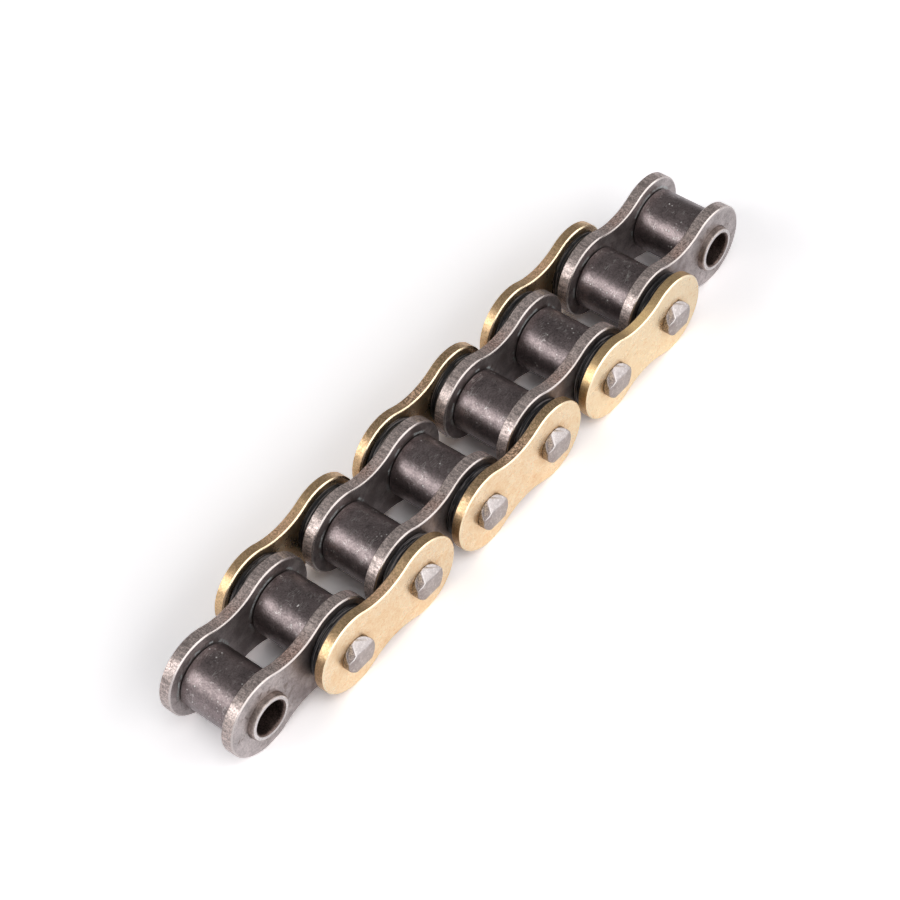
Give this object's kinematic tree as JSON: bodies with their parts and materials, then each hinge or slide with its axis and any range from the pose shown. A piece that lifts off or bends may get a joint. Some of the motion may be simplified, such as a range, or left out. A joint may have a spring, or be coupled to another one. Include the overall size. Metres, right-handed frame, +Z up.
{
  "type": "motorcycle chain",
  "caption": "Short length of sealed motorcycle roller chain with dark waisted inner plates, gold outer plates, riveted pins and X-ring seals.",
  "frame": {"origin": "on the surface that the chain stands on, under the middle of its length and width", "axes": "+X along the chain, +Y along the pins to the side away from the viewer, +Z up"},
  "size_m": [0.1006, 0.0196, 0.0117],
  "materials": {
    "inner_plate": "satin, tumbled",
    "bush": "ground",
    "roller": "dark satin",
    "outer_plate": "gold plated",
    "pin": "riveted, satin",
    "seal": "greased"
  },
  "bodies": {
    "outer_link_1": {"outer_link_1_near_plate": "outer_plate", "outer_link_1_far_plate": "outer_plate", "pin_1": "pin", "pin_2": "pin", "near_seal_1": "seal", "far_seal_1": "seal", "near_seal_2": "seal", "far_seal_2": "seal"},
    "outer_link_2": {"outer_link_2_near_plate": "outer_plate", "outer_link_2_far_plate": "outer_plate", "pin_3": "pin", "pin_4": "pin", "near_seal_3": "seal", "far_seal_3": "seal", "near_seal_4": "seal", "far_seal_4": "seal"},
    "outer_link_3": {"outer_link_3_near_plate": "outer_plate", "outer_link_3_far_plate": "outer_plate", "pin_5": "pin", "pin_6": "pin", "near_seal_5": "seal", "far_seal_5": "seal", "near_seal_6": "seal", "far_seal_6": "seal"},
    "inner_link_1": {"inner_link_1_near_plate": "inner_plate", "inner_link_1_far_plate": "inner_plate", "bush_1": "bush", "bush_2": "bush"},
    "inner_link_2": {"inner_link_2_near_plate": "inner_plate", "inner_link_2_far_plate": "inner_plate", "bush_3": "bush", "bush_4": "bush"},
    "inner_link_3": {"inner_link_3_near_plate": "inner_plate", "inner_link_3_far_plate": "inner_plate", "bush_5": "bush", "bush_6": "bush"},
    "inner_link_4": {"inner_link_4_near_plate": "inner_plate", "inner_link_4_far_plate": "inner_plate", "bush_7": "bush", "bush_8": "bush"},
    "roller_1": {"roller_1": "roller"},
    "roller_2": {"roller_2": "roller"},
    "roller_3": {"roller_3": "roller"},
    "roller_4": {"roller_4": "roller"},
    "roller_5": {"roller_5": "roller"},
    "roller_6": {"roller_6": "roller"},
    "roller_7": {"roller_7": "roller"},
    "roller_8": {"roller_8": "roller"}
  },
  "joints": [
    {"name": "pin_3_hinge", "type": "hinge", "parent": "outer_link_2", "child": "inner_link_2", "pos_m": [-0.00635, 0, 0.00585], "axis": [0, 1, 0], "range_deg": [-45, 45]},
    {"name": "pin_2_hinge", "type": "hinge", "parent": "inner_link_2", "child": "outer_link_1", "pos_m": [-0.01905, 0, 0.00585], "axis": [0, 1, 0], "range_deg": [-45, 45]},
    {"name": "pin_1_hinge", "type": "hinge", "parent": "outer_link_1", "child": "inner_link_1", "pos_m": [-0.03175, 0, 0.00585], "axis": [0, 1, 0], "range_deg": [-45, 45]},
    {"name": "pin_4_hinge", "type": "hinge", "parent": "outer_link_2", "child": "inner_link_3", "pos_m": [0.00635, 0, 0.00585], "axis": [0, -1, 0], "range_deg": [-45, 45]},
    {"name": "pin_5_hinge", "type": "hinge", "parent": "inner_link_3", "child": "outer_link_3", "pos_m": [0.01905, 0, 0.00585], "axis": [0, -1, 0], "range_deg": [-45, 45]},
    {"name": "pin_6_hinge", "type": "hinge", "parent": "outer_link_3", "child": "inner_link_4", "pos_m": [0.03175, 0, 0.00585], "axis": [0, -1, 0], "range_deg": [-45, 45]},
    {"name": "roller_1_spin", "type": "hinge", "parent": "inner_link_1", "child": "roller_1", "pos_m": [-0.04445, 0, 0.00585], "axis": [0, 1, 0], "continuous": true},
    {"name": "roller_2_spin", "type": "hinge", "parent": "inner_link_1", "child": "roller_2", "pos_m": [-0.03175, 0, 0.00585], "axis": [0, 1, 0], "continuous": true},
    {"name": "roller_3_spin", "type": "hinge", "parent": "inner_link_2", "child": "roller_3", "pos_m": [-0.01905, 0, 0.00585], "axis": [0, 1, 0], "continuous": true},
    {"name": "roller_4_spin", "type": "hinge", "parent": "inner_link_2", "child": "roller_4", "pos_m": [-0.00635, 0, 0.00585], "axis": [0, 1, 0], "continuous": true},
    {"name": "roller_5_spin", "type": "hinge", "parent": "inner_link_3", "child": "roller_5", "pos_m": [0.00635, 0, 0.00585], "axis": [0, 1, 0], "continuous": true},
    {"name": "roller_6_spin", "type": "hinge", "parent": "inner_link_3", "child": "roller_6", "pos_m": [0.01905, 0, 0.00585], "axis": [0, 1, 0], "continuous": true},
    {"name": "roller_7_spin", "type": "hinge", "parent": "inner_link_4", "child": "roller_7", "pos_m": [0.03175, 0, 0.00585], "axis": [0, 1, 0], "continuous": true},
    {"name": "roller_8_spin", "type": "hinge", "parent": "inner_link_4", "child": "roller_8", "pos_m": [0.04445, 0, 0.00585], "axis": [0, 1, 0], "continuous": true}
  ]
}
